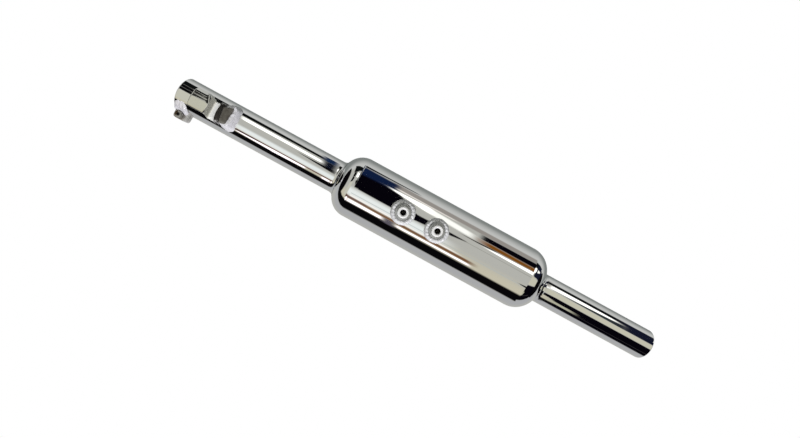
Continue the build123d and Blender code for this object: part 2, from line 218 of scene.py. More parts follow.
def paint_studio():
    """Hangs the panels. A later panel covers the ones before it."""
    room = bpy.data.worlds.new("studio")
    scene.world = room
    studio = Studio(room)
    panel = studio.panel
    far_side = studio.fade(-142, -90, FLOOR_NEAR, FLOOR_FAR)
    near_side = studio.fade(112, 156, FLOOR_LEFT, paint(172, 172, 168))
    # the +Y side's floor, then the dark room low on the -Y side and its floor
    panel(far_side, ALL, (-220, -79), (-220, -79), edge=4)
    panel(paint(142, 137, 132), (-0.02, 0.44), (-88, -71), (-88, -71), edge=3)
    panel(BLACK, ALL, (60.5, 98), (60.5, 98), edge=4)
    panel(near_side, ALL, (97, 220), (97, 220), edge=4)
    panel(near_side, (0.44, 9), (86, 220), (86, 220), edge=3)
    # left of the camera, from the inlet's mouth on
    panel(paint(18, 20, 20), (-0.9, -0.2), (-92, -54), (-79, -63))
    panel(paint(20, 22, 22), (-0.9, -0.46), (-92, -54), (-86, -58))
    panel(BLACK, (-0.8, -0.535), (-52.5, -34), (-52, -36), edge=1, run_edge=0.015)
    panel(BLACK, (-0.585, -0.53), (-31, -13), (-29, -23), edge=1, run_edge=0.01)
    panel(BLACK, (-0.8, -0.572), (-60, -8), (-60, -14), run_edge=0.004)
    panel(paint(104, 104, 100), (-0.8, -0.572), (-55.5, -53), (-55.5, -53), edge=1)
    panel(paint(104, 104, 100), (-0.8, -0.572), (-34, -31.5), (-34, -31.5), edge=1)
    panel(CREAM, (-0.8, -0.47), (-4, 46), (-16, 46), edge=3, run_edge=0.03)
    panel(WHITE, (-0.43, -0.205), (-55, -35), (-48, -33), edge=3)
    panel(PALE, (-0.46, 0.16), (9, 37), (9, 37), edge=9, run_edge=0.06)
    panel(paint(14, 19, 34), (-0.2, -0.165), (-60, -10), (-60, -10))
    panel(paint(25, 42, 70), (-0.205, -0.165), (-95, -60), (-95, -60))
    panel(BLACK, (-0.27, -0.165), (-20, -19), (-24, -5))
    panel(paint(108, 84, 78), (-0.5, -0.05), (39, 47), (39, 47))
    panel(paint(58, 44, 42), (-0.47, -0.36), (43, 51), (43, 50), edge=2)
    panel(PINK_WHITE, (-0.43, -0.33), (51, 56), (47, 62), run_edge=0.004)
    panel(PINK_WHITE, (-0.33, -0.235), (46, 64), (47, 58), run_edge=0.004)
    panel(PINK_WHITE, (-0.187, -0.165), (49, 62), (49, 62), run_edge=0.004)
    # abreast of the camera
    panel(BLACK, (-0.14, 0.05), (-95, -85), (-95, -92))
    panel(INK, (-0.15, 0.006), (-60, 4), (-56, 4), run_edge=0.004)
    panel(NAVY, (-0.14, -0.004), (-85, -49), (-85, -57), edge=5)
    panel(INK, (0.0, 0.068), (-56, 4), (-18, 4), run_edge=0.003)
    panel(INK, (0.062, 0.105), (-18, 4), (-19, 0), run_edge=0.003)
    panel(INK, (0.1, 0.21), (-20, 0), (-18, -16), run_edge=0.003)
    panel(paint(235, 226, 220), (-0.005, 0.16), (-70, -66), (-69, -67))
    panel(SOFT_WHITE, (0.07, 0.215), (-63, -43), (-55, -38), edge=4, run_edge=0.02)
    panel(WHITE, (-0.02, 0.09), (-59, -55), (-63, -43), edge=3, run_edge=0.02)
    panel(paint(245, 241, 236), (-0.15, 0.2), (32, 37), (33, 37), run_edge=0.03)
    panel(paint(172, 177, 175), (-0.15, 0.44), (25, 27), (24, 26))
    panel(BROWN, (-0.06, 0.25), (40, 48), (38, 48), edge=3, run_edge=0.02)
    panel(PINK_WHITE, (-0.14, -0.005), (49, 60), (50, 59))
    panel(PINK_WHITE, (0.035, 0.24), (51, 58), (50, 57))
    panel(paint(86, 82, 92), (-0.002, 0.03), (48, 66), (48, 66))
    # right of the camera
    panel(INK, (0.237, 0.44), (-70, -52), (-71, -51))
    panel(paint(118, 74, 28), (0.24, 0.43), (-51, -38), (-51, -38), edge=3, run_edge=0.03)
    panel(paint(34, 24, 14), (0.19, 0.285), (-34, -33), (-39, -31))
    panel(WHITE, (0.265, 0.44), (-33, -29), (-37, -25), run_edge=0.03)
    panel(paint(140, 140, 132), (0.2, 0.44), (-17, -15.5), (-17, -15.5), edge=0.8)
    # towards the tail
    panel(paint(18, 20, 24), (0.43, 1.3), (-79, -60), (-88, -58))
    panel(WHITE, (0.45, 0.56), (-55, -35), (-58, -41), run_edge=0.006)
    panel(WHITE, (0.56, 0.64), (-58, -41), (-56, -50), run_edge=0.03)
    panel(paint(48, 54, 56), (0.49, 0.66), (-31, -29), (-49, -24))
    panel(paint(26, 29, 44), (0.645, 2.0), (-80, -25), (-80, -28), run_edge=0.03)
    panel(SOFT_WHITE, (0.82, 1.3), (-59, -46), (-63, -58), edge=2, run_edge=0.03)
    panel(paint(190, 188, 170), (0.44, 1.9), (-23, 10), (-21, 8))
    panel(INK, (0.376, 0.48), (22, 24), (11, 36), edge=1, run_edge=0.003)
    panel(INK, (0.467, 2.0), (12, 80), (11, 80))
    panel(paint(168, 167, 148), (0.45, 0.53), (40, 58), (41, 57), run_edge=0.02)
    panel(paint(64, 62, 64), (0.53, 1.3), (59, 61), (59, 61))
    # dark ends of the room
    panel(BLACK, (-90, -1.5), (-97, 97), (-97, 97), run_edge=0.1)
    panel(BLACK, (1.85, 90), (-97, 97), (-97, 97), run_edge=0.1)
    studio.finish(BACKDROP)


def lay_floor():
    """Flat pale sheet under the object, which neither lights it nor shows in its chrome."""
    half = 12.0
    mesh = bpy.data.meshes.new("floor")
    corners = [(-half, -half), (half, -half), (half, half), (-half, half)]
    mesh.from_pydata([(x, y, cad_low.z) for x, y in corners], [], [(0, 1, 2, 3)])
    sheet = bpy.data.objects.new("floor", mesh)
    scene.collection.objects.link(sheet)
    material = bpy.data.materials.new("floor")
    material.use_nodes = True
    graph = Graph(material.node_tree)
    graph.add("OutputMaterial", [graph.add("Emission", [paint(255, 255, 255), 1.0])])
    mesh.materials.append(material)
    sheet.visible_glossy = False
    sheet.visible_diffuse = False


def hang_softbox():
    """Soft lamp on the -Y side, past the tail. It lights the satin pieces and isn't mirrored in
    the chrome."""
    lamp = bpy.data.objects.new("softbox", bpy.data.lights.new("softbox", "AREA"))
    scene.collection.objects.link(lamp)
    lamp.data.energy = 28.0
    lamp.data.size = 0.5
    lamp.data.color = (0.97, 0.95, 1.0)
    lamp.location = (0.62, -0.80, 0.62)
    aim = Vector((0.2, 0, 0))
    lamp.rotation_euler = (lamp.location - aim).to_track_quat("Z", "Y").to_euler()
    lamp.visible_glossy = False


# ---------------------------------------------------------------- materials
class Finish:
    """One procedural material. Its patterns are laid out in the frame's own metres."""

    def __init__(self, name):
        self.material = bpy.data.materials.new(name)
        self.material.use_nodes = True
        self.graph = Graph(self.material.node_tree)
        self.place = self.graph.add("TexCoord", output=3)
        self.x, self.y, self.z = self.graph.split(self.place)

    def cloud(self, per_metre, detail=4.0, stretch=(1, 1, 1)):
        """Noise of 0 to 1, with per_metre lumps a metre, drawn out along an axis by stretch."""
        spot = self.graph.add("Mapping", {"Vector": self.place, "Scale": stretch})
        return self.graph.add("TexNoise", {"Vector": spot, "Scale": per_metre, "Detail": detail})

    def near(self, centre, reach, soft):
        """1 within reach of a point given in millimetres, fading over soft."""
        away = self.graph.add("VectorMath", [self.place, [value * MM for value in centre]],
                              output=1, operation="DISTANCE")
        return self.graph.smooth(away, (reach + soft) * MM, (reach - soft) * MM)

    def made(self, colour, metallic, roughness, spread, grain, height, depth):
        """Finishes the material. Patches of grain are up to spread rougher than roughness, and
        the bumps that height gives are depth millimetres tall."""
        graph = self.graph
        rough = graph.math("MULTIPLY_ADD", self.cloud(grain), spread, roughness)
        lift = graph.add("Bump", {"Strength": 1.0, "Distance": depth * MM, "Height": height})
        shade = graph.add("BsdfPrincipled", {"Base Color": colour, "Metallic": metallic,
                                             "Roughness": rough, "Normal": lift})
        graph.add("OutputMaterial", [shade])
        return self.material


def mottled(finish, first, second, per_metre):
    """Colour that drifts between two shades."""
    return finish.graph.mix(finish.cloud(per_metre, 5.0), first, second)


def mirror_chrome():
    """Polished chrome with faint draw marks along the axis."""
    finish = Finish("mirror_chrome")
    colour = mottled(finish, (0.93, 0.93, 0.925, 1), (0.97, 0.97, 0.965, 1), 60)
    marks = finish.cloud(900, 3.0, (0.04, 1, 1))
    return finish.made(colour, 1.0, 0.025, 0.02, 220, marks, 0.0004)


def tube_chrome():
    """The same chrome, darkened inside its bore, and with a painted shadow in the bracket slot."""
    finish = Finish("tube_chrome")
    graph = finish.graph
    radius = graph.length(finish.y, finish.z)
    # the inside of the inlet socket and of the tail pipe is darkened
    bore = graph.smooth(radius, (SOCKET_RADIUS + 0.45) * MM, (SOCKET_RADIUS - 0.1) * MM)
    narrow = graph.smooth(radius, (TAIL_BORE + 0.9) * MM, (TAIL_BORE + 0.3) * MM)
    before_tail = graph.smooth(finish.x, shell.high.x * MM, shell.low.x * MM)
    dark_bore = graph.math("MAXIMUM", graph.math("MULTIPLY", bore, before_tail), narrow)
    # painted shadow: the tube's top in the slot between the strap's end wall and the block is darkened
    in_slot = graph.math("MULTIPLY",
                         graph.smooth(finish.x, (tongue.high.x - 0.6) * MM, tongue.high.x * MM),
                         graph.smooth(finish.x, (block.low.x + 1.4) * MM, (block.low.x + 0.6) * MM))
    ragged = graph.math("MULTIPLY_ADD", finish.cloud(450, 5.0), 5 * MM, finish.z)
    painted_slot_shadow = graph.math("MULTIPLY", graph.smooth(ragged, 14.5 * MM, 16.5 * MM), in_slot)
    dark_bore_and_slot_shadow = graph.math("MAXIMUM", dark_bore, painted_slot_shadow)
    dull = mottled(finish, (0.006, 0.0055, 0.005, 1), (0.022, 0.018, 0.014, 1), 900)
    colour = graph.mix(dark_bore_and_slot_shadow, (0.95, 0.95, 0.945, 1), dull)
    marks = finish.cloud(900, 3.0, (0.04, 1, 1))
    rough = graph.math("MULTIPLY_ADD", dark_bore_and_slot_shadow, 0.6, 0.025)
    metal = graph.math("MULTIPLY_ADD", dark_bore_and_slot_shadow, -0.7, 1.0)
    return finish.made(colour, metal, rough, 0.02, 220, marks, 0.0004)


def satin_plate(name, light, dark, metallic, roughness, depth):
    """Thin plating over rough weld metal: pale, satin, and pitted."""
    finish = Finish(name)
    colour = mottled(finish, light, dark, 700)
    pits = finish.cloud(1500, 6.0)
    return finish.made(colour, metallic, roughness, 0.16, 600, pits, depth)


def turned_plate():
    """Plating over a turned face, with the tool's fine rings still in it."""
    finish = Finish("turned_plate")
    graph = finish.graph
    colour = mottled(finish, (0.62, 0.63, 0.62, 1), (0.40, 0.41, 0.41, 1), 420)
    rings = graph.add("TexWave", {"Vector": finish.place, "Scale": 900.0, "Distortion": 2.0},
                      output=1, wave_type="RINGS", rings_direction="Z")
    height = graph.math("ADD", rings, finish.cloud(1200, 5.0))
    return finish.made(colour, 0.9, 0.16, 0.2, 500, height, 0.02)


def strap_plate():
    """Plated strap, bright where it lies on the tube and satin past its bend."""
    finish = Finish("strap_plate")
    graph = finish.graph
    bright = mottled(finish, (0.92, 0.915, 0.875, 1), (0.84, 0.84, 0.80, 1), 260)
    satin = mottled(finish, (0.70, 0.70, 0.63, 1), (0.55, 0.55, 0.49, 1), 700)
    bent = graph.smooth(finish.x, (RAMP_START - 1.6) * MM, (RAMP_START + 1.2) * MM)
    metal = graph.math("MULTIPLY_ADD", bent, -0.65, 1.0)
    rough = graph.math("MULTIPLY_ADD", bent, 0.28, 0.04)
    hammer = finish.cloud(900, 5.0)
    return finish.made(graph.mix(bent, bright, satin), metal, rough, 0.06, 300, hammer, 0.004)


def block_plate_with_painted_reflection():
    """Dark block, darker and browner at the middle of its top, where a dark reflection is painted."""
    finish = Finish("block_plate")
    graph = finish.graph
    centre = (block.middle.x, block.middle.y, block.high.z)
    # painted reflection: patches round the middle of the top turn dark brown
    painted_dark_reflection = graph.math("MULTIPLY", finish.near(centre, 6.5, 4.0), finish.cloud(300, 5.0))
    colour = graph.mix(painted_dark_reflection, (0.20, 0.19, 0.17, 1), (0.045, 0.036, 0.027, 1))
    return finish.made(colour, 0.75, 0.24, 0.2, 400, finish.cloud(900, 6.0), 0.05)


def ear_plate():
    """Ears with rust and painted shade in the crevice round the screw."""
    finish = Finish("ear_plate")
    graph = finish.graph
    crevice = (screw.middle.x - 1.2, screw.middle.y, ear.high.z)
    # rust and painted shade: patches in the crevice round the screw turn dark brown
    rust = graph.math("MULTIPLY", finish.near(crevice, 5.2, 1.8),
                      graph.smooth(finish.cloud(700, 6.0), 0.25, 0.6))
    steel = mottled(finish, (0.62, 0.62, 0.60, 1), (0.40, 0.39, 0.37, 1), 500)
    colour = graph.mix(rust, steel, (0.11, 0.062, 0.028, 1))
    return finish.made(colour, 0.7, 0.24, 0.24, 500, finish.cloud(1100, 6.0), 0.05)


def screw_zinc():
    """Zinc plating gone dark and brown on the head's side towards the mouth: heat tint, and painted
    shade.
    """
    finish = Finish("screw_zinc")
    graph = finish.graph
    zinc = mottled(finish, (0.50, 0.49, 0.46, 1), (0.27, 0.26, 0.24, 1), 800)
    browned_and_shaded = mottled(finish, (0.15, 0.10, 0.055, 1), (0.045, 0.03, 0.018, 1), 800)
    mouth_side = (screw.low.x + 0.3, screw.middle.y + 0.4, washer.high.z + 1.5)
    # heat tint and painted shade: the side of the head towards the mouth turns dark brown
    brown_and_shade_mask = graph.math("MULTIPLY_ADD", finish.cloud(500, 5.0), 0.7, finish.near(mouth_side, 3.6, 1.2))
    colour = graph.mix(graph.smooth(brown_and_shade_mask, 0.62, 0.95), zinc, browned_and_shaded)
    return finish.made(colour, 0.9, 0.28, 0.2, 700, finish.cloud(1600, 5.0), 0.02)


def bare_steel():
    """Unplated mild steel with patches of rust."""
    finish = Finish("bare_steel")
    graph = finish.graph
    rust = graph.smooth(finish.cloud(150, 6.0), 0.52, 0.75)
    colour = graph.mix(rust, (0.30, 0.30, 0.30, 1), (0.14, 0.07, 0.035, 1))
    return finish.made(colour, 0.85, 0.35, 0.3, 200, finish.cloud(700, 5.0), 0.02)


def fibres(name, light, dark, metallic, along):
    """Packed fibre: fine strands drawn out along one direction."""
    finish = Finish(name)
    graph = finish.graph
    strands = finish.cloud(2600, 8.0, along)
    colour = graph.mix(strands, dark, light)
    return finish.made(colour, metallic, 0.65, 0.2, 300, strands, 0.25)


WELD = satin_plate("weld_plate", (0.82, 0.82, 0.85, 1), (0.50, 0.50, 0.52, 1), 0.55, 0.27, 0.05)
FINISH = {
    "chrome_shell": mirror_chrome(),
    "chrome_tube": tube_chrome(),
    "plated_weld": WELD,
    "plated_boss": turned_plate(),
    "plated_bracket": strap_plate(),
    "dull_block": block_plate_with_painted_reflection(),
    "dull_ear": ear_plate(),
    "zinc_hardware": screw_zinc(),
    "inner_steel": bare_steel(),
    "steel_wool": fibres("steel_strands", (0.55, 0.55, 0.56, 1), (0.05, 0.05, 0.05, 1), 0.8,
                         (0.2, 1, 1)),
    "glass_wool": fibres("glass_strands", (0.88, 0.80, 0.55, 1), (0.45, 0.38, 0.20, 1), 0.0,
                         (1, 0.25, 0.25)),
}
COLLAR = satin_plate("collar_plate", (0.86, 0.87, 0.85, 1), (0.62, 0.63, 0.62, 1), 0.5, 0.22, 0.02)
BOSS_WELD = satin_plate("boss_weld_plate", (0.84, 0.85, 0.86, 1), (0.34, 0.35, 0.35, 1),
                        0.45, 0.26, 0.05)
WALL = satin_plate("wall_plate", (0.93, 0.95, 0.90, 1), (0.74, 0.76, 0.71, 1), 0.3, 0.32, 0.04)
# painted shade: near-black plating laid inside the bosses' tapped holes and the screw's key socket
HOLE_SHADE = satin_plate("hole_painted_shade", (0.10, 0.09, 0.08, 1), (0.03, 0.03, 0.03, 1), 0.8, 0.42, 0.01)


# ---------------------------------------------------------------- mesh helpers
SHARP = radians(38)                # edges that turn by more than this are left unsmoothed
MERGE = 0.002                      # points nearer than this become one


def steps(first, last, count):
    """count + 1 even steps from first to last."""
    return [first + (last - first) * step / count for step in range(count + 1)]


def skin(name, rows, looped=False, wall=None):
    """Mesh object from rows of points in millimetres. Each row is a closed outline; looped joins
    the last row to the first, and otherwise both end rows are filled, or only the points that
    wall lists."""
    wide, long = len(rows[0]), len(rows)
    faces = []
    for row in range(long if looped else long - 1):
        here, there = row * wide, (row + 1) % long * wide
        for column in range(wide):
            after = (column + 1) % wide
            faces.append((here + column, here + after, there + after, there + column))
    if not looped:
        ends = list(wall or range(wide))
        faces.append(ends)
        faces.append([(long - 1) * wide + column for column in ends])
    mesh = bpy.data.meshes.new(name)
    mesh.from_pydata([Vector(point) * MM for row in rows for point in row], [], faces)
    shape = bmesh.new()
    shape.from_mesh(mesh)
    bmesh.ops.remove_doubles(shape, verts=shape.verts, dist=MERGE * MM)
    bmesh.ops.recalc_face_normals(shape, faces=shape.faces)
    shape.to_mesh(mesh)
    shape.free()
    mesh.shade_smooth()
    mesh.set_sharp_from_angle(angle=SHARP)
    piece = bpy.data.objects.new(name, mesh)
    scene.collection.objects.link(piece)
    return piece


SLOT_OF = {row["node"]: row["material_slot"] for row in frame["record"]["subparts"]}
BODY_OF = {node: body for body, nodes in frame["record"]["behaviour"]["bodies"].items()
           for node in nodes}


def stand_for(piece, node, *extra, finish=None):
    """The piece replaces a CAD node and rides on its body. It takes its slot's finish, unless
    another is given. Each extra is a material and a test of a face's middle, in millimetres,
    that says where it goes."""
    slot = SLOT_OF[node]
    piece.data.materials.append(finish or FINISH[slot])
    for index, (material, test) in enumerate(extra, 1):
        piece.data.materials.append(material)
        for face in piece.data.polygons:
            if test(face.center / MM):
                face.material_index = index
    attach(piece, BODY_OF[node])
    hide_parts(node)


def eased(corners, ease, fill=0):
    """Closed outline through corners, each rounded over the length ease, with fill more points
    on each straight between."""
    outline = []
    corners = [Vector(corner) for corner in corners]
    eases = ease if isinstance(ease, (list, tuple)) else [ease] * len(corners)
    for index, here in enumerate(corners):
        after = corners[(index + 1) % len(corners)]
        to_before = (corners[index - 1] - here).normalized()
        to_after = (after - here).normalized()
        start, stop = here + to_before * eases[index], here + to_after * eases[index]
        for t in steps(0, 1, 4):
            outline.append(start * (1 - t) ** 2 + here * 2 * t * (1 - t) + stop * t ** 2)
        last = after - to_after * eases[(index + 1) % len(corners)]
        outline += [stop.lerp(last, (step + 1) / (fill + 1)) for step in range(fill)]
    return outline


def turned(name, profile, sides, place):
    """Ring or solid from a closed outline of (along, radius) points, which profile gives for
    each angle."""
    rows = []
    for side in range(sides):
        angle = 2 * pi * side / sides
        rows.append([place(along, radius, angle) for along, radius in profile(angle)])
    return skin(name, rows, looped=True)


def about_axis(along, radius, angle):
    """Point round the muffler's axis."""
    return along, radius * cos(angle), radius * sin(angle)


def about_post(x, y):
    """Places points round an upright axis at x, y."""
    return lambda along, radius, angle: (x + radius * cos(angle), y + radius * sin(angle), along)


def off_post(point, x, y):
    """Distance of a point from an upright axis at x, y."""
    return sqrt((point.x - x) ** 2 + (point.y - y) ** 2)


def rounded(share, ease):
    """Drop of a rounded edge of length ease: all of it at share 0, and none at share 1."""
    return ease * (1 - sqrt(1 - (1 - share) ** 2))


def ridge(along, angle, pitch):
    """Height of a V thread, 0 at its root and 1 at its crest."""
    phase = (along / pitch - angle / (2 * pi)) % 1
    return 1 - abs(2 * phase - 1)


def rough(point, size, lump):
    """Steady noise of about -size to size, whose lumps are lump millimetres wide."""
    return size * noise.noise(Vector(point) / lump)


def on_tube(y, radius=SEAT_RADIUS):
    """Height above the axis of a round tube's surface at y."""
    return sqrt(max(radius ** 2 - y ** 2, 0))


# ---------------------------------------------------------------- tubes
def inlet_tube():
    """Tube with a rolled mouth and a slit that ends in a round relief hole. The slit is on the -Z
    side here, a quarter turn from the clamp's ears, though the CAD tube has it between them."""
    ease = 0.45
    relief = 2 * SLIT_HALF
    slit_end = SLIT_LENGTH + relief
    round_relief = (-0.86, -0.6, -0.2, 0.2, 0.6, 0.9)
    stations = steps(1.2, SLIT_LENGTH - relief, 8) + [SLIT_LENGTH + relief * t for t in round_relief]
    back = inlet.high.x
    mouth = [(ease * (1 - sin(t)), ease * (1 - cos(t))) for t in steps(0, pi / 2, 4)]
    outside = [(x, INLET_RADIUS) for x in [back, slit_end] + stations[::-1]]
    outside += [(x, INLET_RADIUS - drop) for x, drop in mouth]
    inside = [(x, SOCKET_RADIUS + drop) for x, drop in mouth[::-1]]
    inside += [(x, SOCKET_RADIUS) for x in stations + [slit_end, SOCKET_DEPTH]]
    inside += [(SOCKET_DEPTH, CORE_RADIUS), (back, CORE_RADIUS)]
    outline = outside + inside

    def opening(x):
        """Half the slit's width at x."""
        if x >= slit_end:
            return 0.0
        if x < SLIT_LENGTH - relief * cos(pi / 6):
            return SLIT_HALF
        return sqrt(relief ** 2 - (x - SLIT_LENGTH) ** 2)

    rows = []
    for turn in steps(0, 1, 120):
        row = []
        for x, radius in outline:
            half = opening(x) / radius
            angle = -pi / 2 + half + (2 * pi - 2 * half) * turn
            row.append((x, radius * cos(angle), radius * sin(angle)))
        rows.append(row)
    wall = [index for index, (x, _) in enumerate(outline) if x <= slit_end]
    stand_for(skin("inlet_pipe", rows, wall=wall), "inlet_tube")


def tail_tube():
    """Tail pipe with a softly deburred end. Its straight wall stops a little short of both ends,
    so that their rounding doesn't tilt its mirror."""
    seat = Span("tail_weld").high.x
    ease, end = 0.55, tail.high.x
    first, last = seat + 0.4, end - 1.2
    rim = [(end - ease * (1 - sin(t)), ease * (1 - cos(t))) for t in steps(0, pi / 2, 4)]
    outline = [(tail.low.x, TAIL_BORE), (tail.low.x, CORE_RADIUS), (seat, CORE_RADIUS),
               (seat, TAIL_RADIUS), (first, TAIL_RADIUS), (last, TAIL_RADIUS)]
    outline += [(x, TAIL_RADIUS - drop) for x, drop in rim]
    outline += [(x, TAIL_BORE + drop) for x, drop in rim[::-1]]
    outline += [(last, TAIL_BORE), (tail.low.x + 0.4, TAIL_BORE)]
    stand_for(turned("tail_pipe", lambda angle: outline, 120, about_axis), "tail_tube")


def pipe_weld(node, tube_radius, facing):
    """Concave bead between a pipe and its cap, dressed smooth and plated with the body."""
    seat = Span(node)
    front, back = (seat.low.x, seat.high.x) if facing < 0 else (seat.high.x, seat.low.x)
    length, rise = back - front, seat.high.z - tube_radius + 0.35
    ripples, ripple_depth, sunk = 52, 0.012, 0.02
    root = tube_radius - 0.4

    def profile(angle):
        ripple = ripple_depth * sin(ripples * angle)
        ripple += rough((cos(angle), sin(angle), facing), 0.03, 0.35)
        hollow = [(front + length * sin(t) + ripple * cos(t),
                   tube_radius + rise * (1 - cos(t)) - sunk) for t in steps(0, pi / 2, 9)]
        return hollow + [(back, root), (front + length * 0.2, root)]

    piece = turned(node + "_bead", profile, 156, about_axis)
    stand_for(piece, node, finish=FINISH["chrome_shell"])


# ---------------------------------------------------------------- hanger bosses
def hanger_boss(end):
    """Turned boss with a step, a chamfered collar and a cut thread."""
    seat = Span("hanger_boss_" + end)
    top, step = seat.high.z, seat.size.x / 2
    collar, collar_height = 4.9, 3.6
    pitch, thread_depth, hole_depth, chamfer = 1.0, 0.5, 8.5, 0.6
    step_top, floor = top - collar_height, top - hole_depth
    outer = [(seat.low.z, 0.0), (seat.low.z, step)]
    shoulder = [(step_top - 1 + sin(t), step - 1 + cos(t)) for t in steps(0, pi / 2, 4)]
    neck = [(step_top, collar + 0.4), (step_top + 0.4, collar), (top - 0.55, collar),
            (top - 0.16, collar - 0.16), (top, collar - 0.6), (top, TAP_RADIUS + 0.75),
            (top - 0.12, TAP_RADIUS + 0.55), (top - chamfer, TAP_RADIUS + 0.1)]
    turns = steps(top - 0.8, floor + 0.8, 54)

    def profile(angle):
        thread = [(z, TAP_RADIUS + thread_depth * (1 - ridge(z, angle, pitch))) for z in turns]
        return outer + shoulder + neck + thread + [(floor, TAP_RADIUS), (floor - 1.2, 0.0)]

    # the tapped hole takes the painted shade
    def in_hole(middle):
        away = off_post(middle, seat.middle.x, 0)
        return floor - 2 < middle.z < top - chamfer - 0.05 and away <= TAP_RADIUS + thread_depth + 0.02

    def on_collar(middle):
        return middle.z > step_top + 0.2 and not in_hole(middle)

    piece = turned("boss_" + end, profile, 96, about_post(seat.middle.x, 0))
    stand_for(piece, "hanger_boss_" + end, (COLLAR, on_collar), (HOLE_SHADE, in_hole))


def boss_bead(end, start):
    """Thick weld ring laid in overlapping ripples from its start angle."""
    node = "hanger_boss_weld_" + end
    seat = Span(node)
    step = Span("hanger_boss_" + end).size.x / 2
    crest, crown, full = seat.high.z, step + 1.5, seat.size.x / 2
    sides, ripples, ripple_height, fade = 168, 19, 0.34, 2.0
    rows = []
    for side in range(sides):
        angle = 2 * pi * side / sides
        across, along = sin(angle), cos(angle)
        reach = full - 0.45 + rough((along, across, start), 0.75, 0.55)
        toe = on_tube(reach * across, BODY_RADIUS) - 0.35
        row = [(step - 0.3, BODY_RADIUS - 3.5), (step - 0.3, crest - 0.9), (step + 0.35, crest - 0.2)]
        row += [(crown + (reach - crown) * sin(t), toe + (crest - toe) * cos(t))
                for t in steps(0, pi / 2, 10)]
        points = []
        for index, (radius, z) in enumerate(row):
            scallop = abs(sin(ripples / 2 * (angle - start) + 0.09 * (radius - step) ** 2))
            lump = rough((radius * along, radius * across, z), 0.4, 2.6)
            in_sight = index > 1
            lift = in_sight * (ripple_height * (scallop - 0.6) + lump)
            lift *= min(1, max(0, (reach + 0.4 - radius) / fade))
            points.append((seat.middle.x + radius * along, radius * across,
                           min(z + lift, crest + 0.3)))
        rows.append(points)
    stand_for(skin("boss_bead_" + end, rows, looped=True), node, finish=BOSS_WELD)


# ---------------------------------------------------------------- bracket slot
def strap_edges(x):
    """Lower and upper edge of the strap's plan at x. They are eased between stations, each of
    which is a share of the strap's length and the two edges as shares of its half width."""
    stations = [(0.0, -0.83, 0.98), (0.45, -0.83, 1.0), (0.62, -0.82, 0.93), (0.74, -0.84, 0.76),
                (0.86, -0.93, 0.62), (1.0, -1.0, 0.56)]
    hair = 1e-6
    t = (x - tongue.low.x) / tongue.size.x
    (t_0, *edges_0), (t_1, *edges_1) = next(pair for pair in zip(stations, stations[1:])
                                            if t <= pair[1][0] + hair)
    share = (t - t_0) / (t_1 - t_0)
    blend = share * share * (3 - 2 * share)
    return [tongue.middle.y + (first + (last - first) * blend) * (tongue.size.y / 2)
            for first, last in zip(edges_0, edges_1)]


def strap():
    """Saddle strap that lifts off the tube in a ramp and ends in a square wall."""
    saddle = INLET_RADIUS + 0.98
    ease, end_ease = 0.55, 0.5            # rounding of the strap's start and of its end
    ramp_slope = tan(radians(38))
    bend = 0.45                           # softness of the bend from the saddle to the ramp
    lip, lip_drop = 1.1, 0.25             # the wall's top dips by lip_drop where the ramp meets it
    flank = 8.3                           # past this y the saddle comes down to the tube
    xs = [tongue.low.x + ease * drop for drop in (0, 0.1, 0.35, 1)]
    xs += steps(tongue.low.x + 1.5, RAMP_START - 2, 10)
    xs += steps(RAMP_START - 1, RAMP_START + 1, 10) + steps(RAMP_START + 1.5, tongue.high.x - 1, 12)
    xs += [tongue.high.x - end_ease * drop for drop in (1, 0.5, 0.15, 0)]
    rows = []
    for x in xs:
        low, high = strap_edges(x)
        front_drop = rounded(min(1, (x - tongue.low.x) / ease), ease)
        end_drop = rounded(min(1, (tongue.high.x - x) / end_ease), end_ease)
        plateau = tongue.high.z
        rise = saddle + (x - RAMP_START) * ramp_slope
        ramp = min(rise, plateau - lip_drop * max(0, min(1, (tongue.high.x - lip - x) / lip)))
        row = []
        edge = [(0, 0.9), (0, 0.45), (0.08, 0.18), (0.3, 0.03), (0.8, 0)]
        ys = [(low + inset, drop) for inset, drop in edge]
        ys += [(y, 0) for y in steps(low + 1.6, high - 1.6, 16)]
        ys += [(high - inset, drop) for inset, drop in edge[::-1]]
        start = min(flank, high - 0.4)
        for y, drop in ys:
            base = on_tube(min(y, start), saddle)
            if y > start:
                base += (on_tube(high, INLET_RADIUS) + 0.05 - base) * (y - start) / (high - start)
            gap = ramp - base
            top = min(base + (gap + sqrt(gap * gap + bend * bend)) / 2, plateau)
            z = top - drop * max(0, min(1, top - on_tube(y) - 1)) - front_drop - end_drop
            row.append((x, y, max(z, on_tube(y)) + rough((x, y, 0), 0.015, 3.0)))
        row += [(x, y, on_tube(y)) for y in steps(high, low, 12)]
        rows.append(row)
    end_x = tongue.high.x - 0.35
    stand_for(skin("bracket_strap", rows), "bracket_tongue",
              (WALL, lambda middle: middle.x > end_x and middle.z < tongue.high.z - 0.3))


